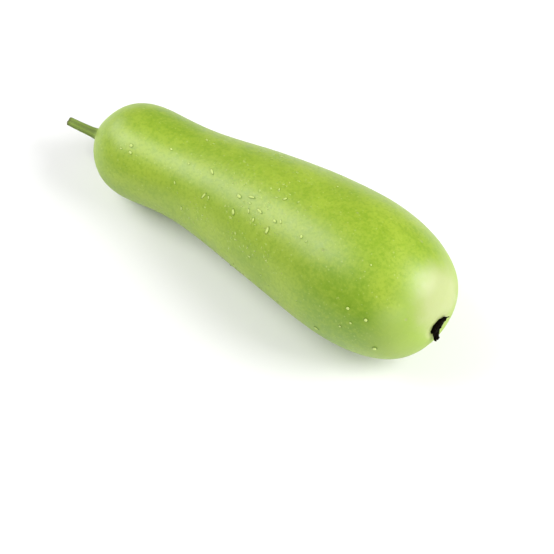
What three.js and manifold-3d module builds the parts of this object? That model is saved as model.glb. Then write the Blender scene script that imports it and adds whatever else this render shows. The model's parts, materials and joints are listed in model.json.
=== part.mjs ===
// A bottle gourd as picked: a long, slightly bowed fruit that swells to its blossom end, the ribbed
// stub of its stem, and the dried flower that still sits on the other end. It lies on its side.
// Millimetres, +Z up, +X from the stem end to the blossom end. The origin is the middle of the
// whole length and width, on the surface that the fruit lies on.
import * as THREE from "three";
import { mergeVertices } from "three/addons/utils/BufferGeometryUtils.js";
import Module from "manifold-3d";

// Fruit: its length, and its radius at stations set along it by the cosine of equal turns, from
// the stem end (turn 0) to the blossom end (turn pi).
const FRUIT_LENGTH = 290;
const STATION_RADII = [10.1, 30.3, 34.7, 36.2, 44.0, 49.9, 49.9, 39.5, 16.6];
const SIDE_BOW = 11.5; // how far the middle bows to +Y
const BOW_LEAN = 0.185; // the share by which the bow leans to the blossom end
const TIP_TURN = { reach: 1.8, power: 8 }; // how far, and how late, the blossom end turns to +Y
const REST_DEPTH = 0.5; // how deep the skin is pressed flat where the fruit lies on it

// A grown fruit isn't a turned one: it is a little oval, and three broad swellings wind round it.
// Shares are of the radius, and an angle of 0 lies to +Y.
const OVAL = { share: 0.008, widestAt: -0.3 };
const SWELLINGS = { count: 3, share: 0.005, firstAt: 1.1, winding: 2.5 };

// Ends of the fruit
const STEM_DIMPLE = { depth: 1.2, radius: 8 };
const FLOWER_DIMPLE = { depth: 1.6, radius: 9 };
const FURROWS = { count: 5, share: 0.03, reach: 22 }; // round the stem, fading out over the shoulder

// Stem
const STEM_LENGTH = 27;
const STEM_RADIUS = { foot: 3.2, cut: 2.7 };
const STEM_FLARE = { spread: 1.6, reach: 3 }; // how much wider on the skin, and how far up
const STEM_RIBS = { count: 5, share: 0.1 };
const STEM_OFFSET = [-0.8, 0]; // to +Y and down from the fruit's tip
const STEM_RISE = 1.6; // how far its cut end curves up
const STEM_CUT = { bevel: 0.45, slant: 0.14, dish: 0.6 };

// Dried flower: a lumpy core, the stub of the style, and the shrivelled lobes. A heading of 0
// lies to +Y, and 90 up.
const FLOWER_OFFSET = [-0.5, 0.3]; // to +Y and up from the fruit's tip
const CORE = { length: 11.5, width: 7.4, height: 3.2, heading: 30 };
const CORE_LUMPS = { count: 5, share: 0.08, firstAt: -0.16 };
const CORE_LEVELS = [
  { height: 0.2, width: 1 },
  { height: 0.6, width: 0.95 },
  { height: 0.88, width: 0.78 },
  { height: 1, width: 0.5 },
]; // shares of the core's height and width
const STYLE = { length: 4.8, radius: 1.2, lean: 1.6, taper: 0.45 };
const STYLE_RIDGES = { count: 3, share: 0.16, winding: 4 };
const LOBES = [
  { heading: 20, reach: 9.2, width: 3.2, tip: 0.3, lift: 2 },
  { heading: 66, reach: 5.8, width: 4.4, tip: 0.4, lift: 1.2 },
  { heading: 138, reach: 5.2, width: 4.2, tip: 0.5, lift: 1.6 },
  { heading: 212, reach: 6.8, width: 4.8, tip: 0.4, lift: 0.9 },
  { heading: 250, reach: 10.4, width: 4.2, tip: 0.8, lift: 2.8 },
]; // tip is the share of the width left at the tip, and lift is how far the tip curls out
const LOBE_THICKNESS = { root: 1.5, tip: 0.9 };
const PLEATS = { height: 0.45, across: 3.2, along: 7 }; // the waves' speed in radians

const GAP = 0.3; // left between two pieces that touch
const ROOT = 3; // how far a piece is first sunk into the fruit, before it is cut to the skin
const UP = new THREE.Vector3(0, 0, 1);
const FULL_TURN = 2 * Math.PI;
const FRUIT_MESH = { rings: 52, sides: 60 };
const STEM_MESH = { rings: 22, sides: 40 };
const CORE_SIDES = 30;
const STYLE_MESH = { rings: 6, sides: 10 };
const LOBE_MESH = { rings: 8, sides: 10 };

const wasm = await Module();
wasm.setup();

// Booleans

function solidOf(geometry) {
  const bare = geometry.clone();
  bare.deleteAttribute("normal");
  bare.deleteAttribute("uv");
  const merged = mergeVertices(bare, 1e-4);
  return new wasm.Manifold(
    new wasm.Mesh({
      numProp: 3,
      vertProperties: merged.attributes.position.array,
      triVerts: new Uint32Array(merged.index.array),
    }),
  );
}

function geometryOf(solid) {
  const mesh = solid.getMesh();
  const geometry = new THREE.BufferGeometry();
  geometry.setAttribute("position", new THREE.BufferAttribute(mesh.vertProperties, 3));
  geometry.setIndex(new THREE.BufferAttribute(mesh.triVerts, 1));
  geometry.computeVertexNormals();
  return geometry;
}

// Skins over rings of points

// A ring square to the tangent. outline(angle) gives [sideways, upwards, forwards] in millimetres.
function ring(centre, tangent, sides, outline) {
  const side = UP.clone().cross(tangent).normalize();
  if (side.lengthSq() < 0.5) side.set(1, 0, 0);
  const top = tangent.clone().cross(side);
  return Array.from({ length: sides }, (_, i) => {
    const [sideways, upwards, forwards = 0] = outline((i / sides) * FULL_TURN);
    return centre
      .clone()
      .addScaledVector(side, sideways)
      .addScaledVector(top, upwards)
      .addScaledVector(tangent, forwards);
  });
}

// Closes a row of rings into one solid skin, with a fan to a point at each end.
function loft(rings, first, last) {
  const sides = rings[0].length;
  const points = [...rings.flat(), first, last];
  const start = points.length - 2;
  const end = points.length - 1;
  const lastRing = (rings.length - 1) * sides;
  const faces = [];
  for (let side = 0; side < sides; side++) {
    const next = (side + 1) % sides;
    for (let base = 0; base < lastRing; base += sides) {
      faces.push(base + side, base + next, base + side + sides);
      faces.push(base + next, base + next + sides, base + side + sides);
    }
    faces.push(start, next, side);
    faces.push(end, lastRing + side, lastRing + next);
  }
  const geometry = new THREE.BufferGeometry().setFromPoints(points);
  geometry.setIndex(faces);
  geometry.computeVertexNormals();
  return geometry;
}

// Sweeps outline(share, angle) along a curve.
function sweep(curve, { rings, sides }, outline) {
  const shares = Array.from({ length: rings }, (_, i) => i / (rings - 1));
  const made = shares.map((share) =>
    ring(curve.getPoint(share), curve.getTangent(share), sides, (angle) => outline(share, angle)),
  );
  return loft(made, curve.getPoint(0), curve.getPoint(1));
}

// Fruit

const stationTurns = STATION_RADII.map((_, i) => (Math.PI * (i + 0.5)) / STATION_RADII.length);

// Over the sine of its turn, the radius is a short cosine series that passes through every station
// and leaves both ends round.
const girthSeries = STATION_RADII.map((_, wave) => {
  const total = STATION_RADII.reduce((sum, radius, i) => {
    const turn = stationTurns[i];
    return sum + (radius / Math.sin(turn)) * Math.cos(wave * turn);
  }, 0);
  return ((wave ? 2 : 1) * total) / STATION_RADII.length;
});

function radiusAt(turn) {
  const girth = girthSeries.reduce((sum, part, wave) => sum + part * Math.cos(wave * turn), 0);
  return Math.sin(turn) * girth;
}

const shareAt = (turn) => (1 - Math.cos(turn)) / 2;
const lying = { slope: 0, height: 0 }; // how the middle line rises to +X, set by layDown

function spineAt(turn) {
  const share = shareAt(turn);
  const x = share * FRUIT_LENGTH;
  const lean = 1 + BOW_LEAN * (2 * share - 1);
  const y = 4 * SIDE_BOW * share * (1 - share) * lean + TIP_TURN.reach * share ** TIP_TURN.power;
  return new THREE.Vector3(x, y, lying.height + lying.slope * x);
}

function spineTangentAt(turn) {
  const share = shareAt(turn);
  const lean = 1 + BOW_LEAN * (2 * share - 1);
  const bowRate = 4 * SIDE_BOW * ((1 - 2 * share) * lean + 2 * BOW_LEAN * share * (1 - share));
  const turnRate = TIP_TURN.power * TIP_TURN.reach * share ** (TIP_TURN.power - 1);
  return new THREE.Vector3(1, (bowRate + turnRate) / FRUIT_LENGTH, lying.slope).normalize();
}

function unevenness(turn, angle) {
  const share = shareAt(turn);
  const oval = OVAL.share * Math.cos(2 * (angle - OVAL.widestAt)) * Math.sin(turn);
  const around = SWELLINGS.count * angle - SWELLINGS.firstAt + SWELLINGS.winding * share;
  const swelling = SWELLINGS.share * Math.cos(around) * Math.sin(2 * turn);
  const fade = Math.exp(-(share * FRUIT_LENGTH) / FURROWS.reach);
  const furrow = (FURROWS.share * fade * (1 + Math.cos(FURROWS.count * angle))) / 2;
  return 1 + oval + swelling - furrow;
}

// How far the skin is drawn in, along the spine, round the stem and round the flower.
function dimpleAt(turn) {
  const atStem = turn < Math.PI / 2;
  const { depth, radius } = atStem ? STEM_DIMPLE : FLOWER_DIMPLE;
  const inwards = depth * Math.exp(-((radiusAt(turn) / radius) ** 2));
  return atStem ? inwards : -inwards;
}

function fruitRing(turn, sides, grow) {
  return ring(spineAt(turn), spineTangentAt(turn), sides, (angle) => {
    const radius = radiusAt(turn) * unevenness(turn, angle) + grow * Math.sin(turn);
    const forwards = dimpleAt(turn) - grow * Math.cos(turn);
    return [radius * Math.cos(angle), radius * Math.sin(angle), forwards];
  });
}

// The end of the skin on the spine, at turn 0 or pi.
function fruitTip(turn, grow = 0) {
  const forwards = dimpleAt(turn) - grow * Math.cos(turn);
  return spineAt(turn).addScaledVector(spineTangentAt(turn), forwards);
}

function fruitSkin(grow = 0) {
  const { rings, sides } = FRUIT_MESH;
  const turns = Array.from({ length: rings }, (_, i) => (Math.PI * (i + 1)) / (rings + 1));
  const made = turns.map((turn) => fruitRing(turn, sides, grow));
  return loft(made, fruitTip(0, grow), fruitTip(Math.PI, grow));
}

function lowestBetween(firstTurn, lastTurn) {
  const steps = 60;
  const points = Array.from({ length: steps + 1 }, (_, step) => {
    const turn = THREE.MathUtils.lerp(firstTurn, lastTurn, step / steps);
    return fruitRing(turn, FRUIT_MESH.sides, 0);
  }).flat();
  return points.reduce((lowest, point) => (point.z < lowest.z ? point : lowest));
}

// Tilts the fruit until neck and belly come down to the surface together.
function layDown() {
  const waist = 0.35 * Math.PI; // a turn between the neck's bulge and the belly
  const passes = 8;
  for (let pass = 0; pass < passes; pass++) {
    const neck = lowestBetween(0, waist);
    const belly = lowestBetween(waist, Math.PI);
    lying.slope += (neck.z - belly.z) / (belly.x - neck.x);
  }
  lying.height -= lowestBetween(0, Math.PI).z + REST_DEPTH;
}

function makeFruit() {
  const margin = 50;
  const table = new THREE.BoxGeometry(FRUIT_LENGTH + 2 * margin, 4 * margin, margin);
  table.translate(FRUIT_LENGTH / 2, 0, -margin / 2);
  return geometryOf(solidOf(fruitSkin()).subtract(solidOf(table)));
}

// A piece made round its own origin, with its Z pointing out of the fruit, is placed on a tip of
// the fruit by its mesh and cut to the skin there, less the gap.
function placeOnTip(mesh, solid, turn, [across, upwards]) {
  const outwards = spineTangentAt(turn).multiplyScalar(turn ? 1 : -1);
  const side = UP.clone().cross(spineTangentAt(turn)).normalize();
  const top = outwards.clone().cross(side);
  mesh.quaternion.setFromRotationMatrix(new THREE.Matrix4().makeBasis(side, top, outwards));
  mesh.position.copy(fruitTip(turn)).addScaledVector(side, across).addScaledVector(top, upwards);
  mesh.updateMatrix();
  const skin = fruitSkin(GAP).applyMatrix4(mesh.matrix.clone().invert());
  mesh.geometry = geometryOf(solid.subtract(solidOf(skin)));
}

// Stem: five ribs run along it, and its cut end is bevelled, slanted and a little hollow.

function stemOutline(share, angle, isCutFace) {
  const height = Math.max(share * (STEM_LENGTH + ROOT) - ROOT, 0);
  const plain = THREE.MathUtils.lerp(STEM_RADIUS.foot, STEM_RADIUS.cut, height / STEM_LENGTH);
  const flare = STEM_FLARE.spread * Math.exp(-height / STEM_FLARE.reach);
  const rib = 1 + STEM_RIBS.share * Math.cos(STEM_RIBS.count * angle);
  const radius = (plain + flare) * rib - (isCutFace ? STEM_CUT.bevel : 0);
  const slant = share ** 4 * STEM_CUT.slant * radius * Math.sin(angle);
  const forwards = slant + (isCutFace ? STEM_CUT.bevel / 2 : 0);
  return [radius * Math.cos(angle), radius * Math.sin(angle), forwards];
}

function makeStem() {
  const turnedUp = -STEM_RISE; // the stem's own Y points down
  const curve = new THREE.QuadraticBezierCurve3(
    new THREE.Vector3(0, 0, -ROOT),
    new THREE.Vector3(0, 0, STEM_LENGTH / 2),
    new THREE.Vector3(0, turnedUp, STEM_LENGTH),
  );
  const { rings, sides } = STEM_MESH;
  const shares = Array.from({ length: rings }, (_, i) => i / (rings - 1));
  const ringAt = (share, isCutFace) =>
    ring(curve.getPoint(share), curve.getTangent(share), sides, (angle) =>
      stemOutline(share, angle, isCutFace),
    );
  const made = [...shares.map((share) => ringAt(share, false)), ringAt(1, true)];
  const pith = curve.getPoint(1).addScaledVector(curve.getTangent(1), -STEM_CUT.dish);
  return solidOf(loft(made, curve.getPoint(0), pith));
}

// Dried flower

function makeCore() {
  const longest = THREE.MathUtils.degToRad(CORE.heading);
  const outline = (width, angle) => {
    const ovalRate = Math.hypot(
      Math.cos(angle - longest) / CORE.length,
      Math.sin(angle - longest) / CORE.width,
    );
    const lump = Math.cos(CORE_LUMPS.count * (angle - CORE_LUMPS.firstAt));
    const radius = (width * (1 + CORE_LUMPS.share * lump)) / (2 * ovalRate);
    return [radius * Math.cos(angle), radius * Math.sin(angle)];
  };
  const root = { height: -ROOT / CORE.height, width: 1 };
  const made = [root, ...CORE_LEVELS].map(({ height, width }) =>
    ring(new THREE.Vector3(0, 0, height * CORE.height), UP, CORE_SIDES, (angle) =>
      outline(width, angle),
    ),
  );
  const hollow = new THREE.Vector3(0, 0, 0.8 * CORE.height);
  return solidOf(loft(made, new THREE.Vector3(0, 0, -ROOT), hollow));
}

function makeStyle() {
  const { length, radius, lean, taper } = STYLE;
  const curve = new THREE.QuadraticBezierCurve3(
    new THREE.Vector3(0, 0, 0.2 * length),
    new THREE.Vector3(0.1 * lean, 0, 0.6 * length),
    new THREE.Vector3(lean, -0.4 * lean, length),
  );
  const outline = (share, angle) => {
    const ridge = Math.cos(STYLE_RIDGES.count * angle + STYLE_RIDGES.winding * share);
    const ridged = radius * (1 - taper * share) * (1 + STYLE_RIDGES.share * ridge);
    return [ridged * Math.cos(angle), ridged * Math.sin(angle)];
  };
  return solidOf(sweep(curve, STYLE_MESH, outline));
}

// One shrivelled lobe: it leaves the core, sags to the skin and curls up at its tip.
function makeLobe({ heading, reach, width, tip, lift }) {
  const angle = THREE.MathUtils.degToRad(heading);
  const sag = 0.5 * CORE.height;
  const at = (distance, height) =>
    new THREE.Vector3(distance * Math.cos(angle), distance * Math.sin(angle), height);
  const curve = new THREE.CatmullRomCurve3([
    at(0.2 * reach, sag),
    at(0.55 * reach, sag),
    at(0.8 * reach, sag + 0.3 * lift),
    at(reach, sag + lift),
  ]);
  const outline = (share, turn) => {
    const taper = 1 - (1 - tip) * share ** 2;
    const across = (width / 2) * taper * Math.cos(turn);
    const pleat = PLEATS.height * Math.sin(PLEATS.across * across + PLEATS.along * share) * taper;
    const thickness = THREE.MathUtils.lerp(LOBE_THICKNESS.root, LOBE_THICKNESS.tip, share);
    return [across, (thickness / 2) * Math.sin(turn) + pleat];
  };
  return solidOf(sweep(curve, LOBE_MESH, outline));
}

function makeDriedFlower() {
  const lobes = LOBES.map(makeLobe);
  return [makeStyle(), ...lobes].reduce((joined, piece) => joined.add(piece), makeCore());
}

// Assembly

function piece(name, color, roughness) {
  const material = new THREE.MeshStandardMaterial({ color, roughness, metalness: 0 });
  const mesh = new THREE.Mesh(undefined, material);
  mesh.name = name;
  return mesh;
}

layDown();

const fruit = piece("fruit", "#a3c442", 0.42);
fruit.geometry = makeFruit();

const stem = piece("stem", "#7f9c4c", 0.7);
placeOnTip(stem, makeStem(), 0, STEM_OFFSET);

const driedFlower = piece("dried_flower", "#1c1712", 0.85);
placeOnTip(driedFlower, makeDriedFlower(), Math.PI, FLOWER_OFFSET);

const lyingGourd = new THREE.Group();
lyingGourd.add(fruit, stem, driedFlower);
const middle = new THREE.Box3().setFromObject(lyingGourd, true).getCenter(new THREE.Vector3());
lyingGourd.position.set(-middle.x, -middle.y, 0);

const gourd = new THREE.Group();
gourd.add(lyingGourd);

export default gourd;
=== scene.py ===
"""Bottle gourd: the finished skin, stem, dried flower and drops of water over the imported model."""
import json
import math

import bpy
from bpy.props import FloatProperty, FloatVectorProperty, IntProperty, PointerProperty
from mathutils import Matrix, Vector, noise

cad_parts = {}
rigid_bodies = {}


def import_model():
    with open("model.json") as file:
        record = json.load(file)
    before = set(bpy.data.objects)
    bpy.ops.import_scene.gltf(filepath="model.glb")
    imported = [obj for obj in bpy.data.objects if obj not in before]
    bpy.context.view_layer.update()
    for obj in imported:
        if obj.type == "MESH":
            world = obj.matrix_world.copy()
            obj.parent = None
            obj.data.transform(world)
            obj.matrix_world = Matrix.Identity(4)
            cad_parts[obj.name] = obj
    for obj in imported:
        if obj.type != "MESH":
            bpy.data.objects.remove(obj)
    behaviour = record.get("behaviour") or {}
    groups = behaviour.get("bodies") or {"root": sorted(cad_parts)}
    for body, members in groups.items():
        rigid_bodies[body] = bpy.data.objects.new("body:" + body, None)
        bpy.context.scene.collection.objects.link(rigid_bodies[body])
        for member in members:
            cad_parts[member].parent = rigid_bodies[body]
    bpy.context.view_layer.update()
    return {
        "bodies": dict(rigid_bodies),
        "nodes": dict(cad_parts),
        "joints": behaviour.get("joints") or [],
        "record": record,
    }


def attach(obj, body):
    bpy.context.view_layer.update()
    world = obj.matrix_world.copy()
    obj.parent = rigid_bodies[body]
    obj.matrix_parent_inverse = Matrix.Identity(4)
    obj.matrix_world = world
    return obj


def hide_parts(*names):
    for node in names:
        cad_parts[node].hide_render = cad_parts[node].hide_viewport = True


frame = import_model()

bl_info = {
    "name": "Bottle Gourd",
    "version": (1, 0, 0),
    "blender": (4, 5, 0),
    "location": "3D View > Sidebar > Gourd",
    "description": "Builds a bottle gourd with its stem, dried flower and drops of water",
    "category": "Add Mesh",
}

MM = 0.001
FULL_TURN = 2 * math.pi
UP = Vector((0, 0, 1))
BODY = "root"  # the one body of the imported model


# Node trees

class Wire:
    """An output socket of a node tree. Operators on it add the nodes that work the value out."""

    def __init__(self, bench, socket):
        self.bench = bench
        self.socket = socket

    def math(self, operation, *others):
        return self.bench.add("ShaderNodeMath", {"operation": operation}, [self, *others])

    def __add__(self, other):
        return self.math("ADD", other)

    def __sub__(self, other):
        return self.math("SUBTRACT", other)

    def __rsub__(self, other):
        return self.bench.add("ShaderNodeMath", {"operation": "SUBTRACT"}, [other, self])

    def __mul__(self, other):
        return self.math("MULTIPLY", other)

    def __truediv__(self, other):
        return self.math("DIVIDE", other)

    def __pow__(self, other):
        return self.math("POWER", other)

    def __neg__(self):
        return self * -1

    __radd__ = __add__
    __rmul__ = __mul__


class Bench:
    """Builds one node tree, node by node."""

    def __init__(self, tree):
        self.tree = tree

    def add(self, kind, settings=None, sockets=(), out=0):
        """Adds a node: its settings first, then a value or a link for each socket."""
        node = self.tree.nodes.new(kind)
        for name, value in (settings or {}).items():
            setattr(node, name, value)
        pairs = sockets.items() if isinstance(sockets, dict) else enumerate(sockets)
        for key, value in pairs:
            if value is None:
                continue
            if isinstance(value, Wire):
                self.tree.links.new(value.socket, node.inputs[key])
            else:
                node.inputs[key].default_value = value
        return Wire(self, node.outputs[out])

    def other(self, wire, name):
        """Another output of the node that a wire comes from."""
        return Wire(self, wire.socket.node.outputs[name])

    def vector(self, operation, *values, out=0):
        return self.add("ShaderNodeVectorMath", {"operation": operation}, values, out)

    def scaled(self, vector, factor):
        return self.add("ShaderNodeVectorMath", {"operation": "SCALE"}, {0: vector, 3: factor})

    def dot(self, first, second):
        return self.vector("DOT_PRODUCT", first, second, out=1)

    def length(self, vector):
        return self.vector("LENGTH", vector, out=1)

    def distance(self, place, spot):
        return self.length(self.vector("SUBTRACT", place, tuple(spot)))

    def split(self, vector):
        node = self.add("ShaderNodeSeparateXYZ", None, [vector]).socket.node
        return [Wire(self, socket) for socket in node.outputs]

    def join(self, x, y, z):
        return self.add("ShaderNodeCombineXYZ", None, [x, y, z])

    def ramp(self, value, low, high, smooth=True):
        """0 where the value is low, 1 where it is high, whichever of the two is greater."""
        settings = {"interpolation_type": "SMOOTHSTEP" if smooth else "LINEAR", "clamp": True}
        return self.add("ShaderNodeMapRange", settings, [value, low, high, 0.0, 1.0])

    def mix(self, factor, first, second):
        """Mixes two colours, each of them a wire or three numbers."""
        first, second = (c if isinstance(c, Wire) else (*c[:3], 1.0) for c in (first, second))
        sockets = {0: factor, 6: first, 7: second}
        return self.add("ShaderNodeMix", {"data_type": "RGBA"}, sockets, out=2)

    def noise(self, place, scale, detail=2.0, roughness=0.5, distortion=0.0, out=0):
        sockets = {
            "Vector": place, "Scale": scale, "Detail": detail, "Roughness": roughness,
            "Distortion": distortion,
        }
        return self.add("ShaderNodeTexNoise", None, sockets, out)

    def cells(self, place, scale):
        """How far it is to the middle of the nearest cell."""
        return self.add("ShaderNodeTexVoronoi", None, {"Vector": place, "Scale": scale})


class MaterialBench(Bench):
    """Builds the nodes of one material round its Principled shader."""

    def __init__(self, name):
        self.material = bpy.data.materials.new(name)
        self.material.use_nodes = True
        super().__init__(self.material.node_tree)
        self.shader = self.tree.nodes["Principled BSDF"]

    def object_place(self):
        return self.add("ShaderNodeTexCoord", out="Object")

    def attribute(self, name, out="Fac"):
        settings = {"attribute_name": name, "attribute_type": "GEOMETRY"}
        return self.add("ShaderNodeAttribute", settings, out=out)

    def bump(self, height, strength, depth):
        """Relief of the shading alone, with its depth in mm."""
        sockets = {"Strength": strength, "Distance": depth * MM, "Height": height}
        return self.add("ShaderNodeBump", None, sockets)

    def finish(self, linked, constant):
        """Links what varies, and sets what is the same all over on the shader itself."""
        for name, wire in linked.items():
            self.tree.links.new(wire.socket, self.shader.inputs[name])
        for name, value in constant.items():
            self.shader.inputs[name].default_value = value
        return self.material


# Sockets for plain values. Those for objects and materials are named like their types.
SOCKETS = {"int": "Int", "float": "Float", "tuple": "Vector"}


class FormBench(Bench):
    """Builds a Geometry Nodes tree with a named input for each of the given values."""

    def __init__(self, name, values):
        super().__init__(bpy.data.node_groups.new(name, "GeometryNodeTree"))
        face = self.tree.interface
        face.new_socket("Geometry", in_out="INPUT", socket_type="NodeSocketGeometry")
        self.settings = {}
        for label, value in values.items():
            kind = type(value).__name__
            kind = "NodeSocket" + SOCKETS.get(kind, kind)
            socket = face.new_socket(label, in_out="INPUT", socket_type=kind)
            self.settings[socket.identifier] = value
        face.new_socket("Geometry", in_out="OUTPUT", socket_type="NodeSocketGeometry")
        self.entry = self.tree.nodes.new("NodeGroupInput")
        self.exit = self.tree.nodes.new("NodeGroupOutput")

    def input(self, label):
        return Wire(self, self.entry.outputs[label])

    def position(self):
        return self.add("GeometryNodeInputPosition")

    def normal(self):
        return self.add("GeometryNodeInputNormal")

    def stored(self, name):
        settings = {"data_type": "FLOAT_VECTOR"}
        return self.add("GeometryNodeInputNamedAttribute", settings, {"Name": name})

    def store(self, geometry, name, value, kind="FLOAT_VECTOR"):
        settings = {"data_type": kind, "domain": "POINT"}
        sockets = {"Geometry": geometry, "Name": name, "Value": value}
        return self.add("GeometryNodeStoreNamedAttribute", settings, sockets)

    def move(self, geometry, position=None, offset=None):
        sockets = {"Geometry": geometry, "Position": position, "Offset": offset}
        return self.add("GeometryNodeSetPosition", None, sockets)

    def close(self, geometry, material):
        """Ends the tree: realized instances, smooth faces, and the material."""
        real = self.add("GeometryNodeRealizeInstances", None, [geometry])
        smooth = self.add("GeometryNodeSetShadeSmooth", None, [real])
        sockets = {"Geometry": smooth, "Material": material}
        done = self.add("GeometryNodeSetMaterial", None, sockets)
        self.tree.links.new(done.socket, self.exit.inputs[0])


def grow(name, data, bench):
    """Runs a tree on an object with this data, and returns the result as a plain mesh object."""
    seed = bpy.data.objects.new(name + "_seed", data)
    bpy.context.scene.collection.objects.link(seed)
    modifier = seed.modifiers.new("form", "NODES")
    modifier.node_group = bench.tree
    for identifier, value in bench.settings.items():
        modifier[identifier] = value
    seed.update_tag()
    graph = bpy.context.evaluated_depsgraph_get()
    mesh = bpy.data.meshes.new_from_object(seed.evaluated_get(graph))
    seed.modifiers.remove(modifier)
    bpy.data.objects.remove(seed)
    if not mesh.polygons:
        raise RuntimeError(f"{name} came out with no faces")
    return place_mesh(name, mesh)


def place_mesh(name, mesh):
    mesh.name = name
    made = bpy.data.objects.new(name, mesh)
    bpy.context.scene.collection.objects.link(made)
    return made


# The gourd's form, from its sizes

def ring_angles(sides):
    return [side / sides * FULL_TURN for side in range(sides)]


class Form:
    """Works out the middle line and the plain girth of the fruit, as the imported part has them."""

    def __init__(self, sizes):
        self.sizes = sizes
        count = len(sizes.girth)
        turns = [math.pi * (i + 0.5) / count for i in range(count)]
        self.series = [
            (2 if wave else 1)
            / count
            * sum(r / math.sin(t) * math.cos(wave * t) for r, t in zip(sizes.girth, turns))
            for wave in range(count)
        ]
        self.slope = 0.0
        self.height = 0.0
        self.lay_down()

    def radius(self, turn):
        girth = sum(part * math.cos(wave * turn) for wave, part in enumerate(self.series))
        return math.sin(turn) * girth

    def middle(self, turn):
        s = self.sizes
        share = (1 - math.cos(turn)) / 2
        x = share * s.length
        lean = 1 + s.bow_lean * (2 * share - 1)
        y = 4 * s.side_bow * share * (1 - share) * lean + s.tip_reach * share**s.tip_power
        return Vector((s.stem_tip[0] + x, s.stem_tip[1] + y, self.height + self.slope * x))

    def heading(self, turn):
        s = self.sizes
        share = (1 - math.cos(turn)) / 2
        lean = 1 + s.bow_lean * (2 * share - 1)
        bow = 4 * s.side_bow * ((1 - 2 * share) * lean + 2 * s.bow_lean * share * (1 - share))
        tip = s.tip_power * s.tip_reach * share ** (s.tip_power - 1)
        return Vector((1, (bow + tip) / s.length, self.slope)).normalized()

    def unevenness(self, turn, angle):
        s = self.sizes
        share = (1 - math.cos(turn)) / 2
        oval = s.oval * math.cos(2 * (angle - s.oval_angle)) * math.sin(turn)
        around = 3 * angle - s.swelling_angle + s.swelling_winding * share
        swelling = s.swelling * math.cos(around) * math.sin(2 * turn)
        fade = math.exp(-share * s.length / s.furrow_reach)
        return 1 + oval + swelling - s.furrow * fade * (1 + math.cos(5 * angle)) / 2

    def dimple(self, turn):
        s = self.sizes
        at_stem = turn < math.pi / 2
        depth, radius = s.stem_dimple if at_stem else s.flower_dimple
        inwards = depth * math.exp(-((self.radius(turn) / radius) ** 2))
        return inwards if at_stem else -inwards

    def point(self, turn, angle):
        heading = self.heading(turn)
        side = UP.cross(heading).normalized()
        top = heading.cross(side)
        radius = self.radius(turn) * self.unevenness(turn, angle)
        around = side * math.cos(angle) + top * math.sin(angle)
        return self.middle(turn) + around * radius + heading * self.dimple(turn)

    def lowest(self, first, last, steps=60):
        turns = [first + (last - first) * step / steps for step in range(steps + 1)]
        angles = ring_angles(steps)
        return min((self.point(t, a) for t in turns for a in angles), key=lambda p: p.z)

    def lay_down(self):
        """Tilts the fruit until neck and belly touch the surface that it lies on together."""
        waist = 0.35 * math.pi
        for _ in range(8):
            neck = self.lowest(0, waist)
            belly = self.lowest(waist, math.pi)
            self.slope += (neck.z - belly.z) / (belly.x - neck.x)
        self.height -= self.lowest(0, math.pi).z + self.sizes.rest_depth

    def tip_frame(self, turn, across, upwards):
        """A frame on a tip of the fruit, with its Z pointing out of the fruit."""
        heading = self.heading(turn)
        outwards = heading if turn else -heading
        side = UP.cross(heading).normalized()
        top = outwards.cross(side)
        at = self.middle(turn) + heading * self.dimple(turn) + side * across + top * upwards
        turned = Matrix((side, top, outwards)).transposed().to_4x4()
        return Matrix.Translation(at) @ turned


class Sheet:
    """Collects rings of points and closes them into one skin, with a fan at each end."""

    def __init__(self):
        self.points = []
        self.faces = []
        self.values = {}

    def loft(self, rings, first, last, values=None):
        """Adds one closed skin. values holds a row of numbers for each named attribute."""
        base = len(self.points)
        sides = len(rings[0])
        self.points += [point for ring in rings for point in ring] + [first, last]
        start = base + len(rings) * sides
        final = base + (len(rings) - 1) * sides
        for side in range(sides):
            after = (side + 1) % sides
            for row in range(base, final, sides):
                here, there = row + side, row + after
                self.faces.append((here, there, there + sides, here + sides))
            self.faces.append((start, base + after, base + side))
            self.faces.append((start + 1, final + side, final + after))
        for name, row in (values or {}).items():
            self.values.setdefault(name, []).extend(row)

    def build(self, name, frame, material):
        mesh = bpy.data.meshes.new(name)
        mesh.from_pydata([frame @ point for point in self.points], [], self.faces)
        for label, row in self.values.items():
            attribute = mesh.attributes.new(label, "FLOAT", "POINT")
            attribute.data.foreach_set("value", row)
        mesh.validate()
        mesh.shade_smooth()
        mesh.materials.append(material)
        return place_mesh(name, mesh)


def ring_frame(tangent):
    side = UP.cross(tangent)
    side = side.normalized() if side.length > 0.5 else Vector((1, 0, 0))
    return side, tangent.cross(side)


def bezier(points, share):
    """A point of a quadratic Bezier curve, and its tangent."""
    a, b, c = points
    back = 1 - share
    place = a * back * back + b * 2 * back * share + c * share * share
    return place, ((b - a) * back + (c - b) * share).normalized()


# Sizes and colours that a user would change

def number(label, description, value, kind=FloatProperty, **more):
    return kind(name=label, description=description, default=value, **more)


def size(label, description, value, **more):
    """A length, given in mm."""
    return number(label, description, value * MM, unit="LENGTH", **more)


def size_row(label, description, *values):
    """Some lengths, given in mm."""
    row = [value * MM for value in values]
    return number(label, description, row, FloatVectorProperty, size=len(row), unit="LENGTH")


def angular(label, description, value):
    return number(label, description, value, subtype="ANGLE")


def watts(label, description, value):
    return number(label, description, value, unit="POWER")


def colour(label, description, value):
    limits = {"subtype": "COLOR", "size": 3, "min": 0, "max": 1}
    return number(label, description, value, FloatVectorProperty, **limits)


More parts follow.
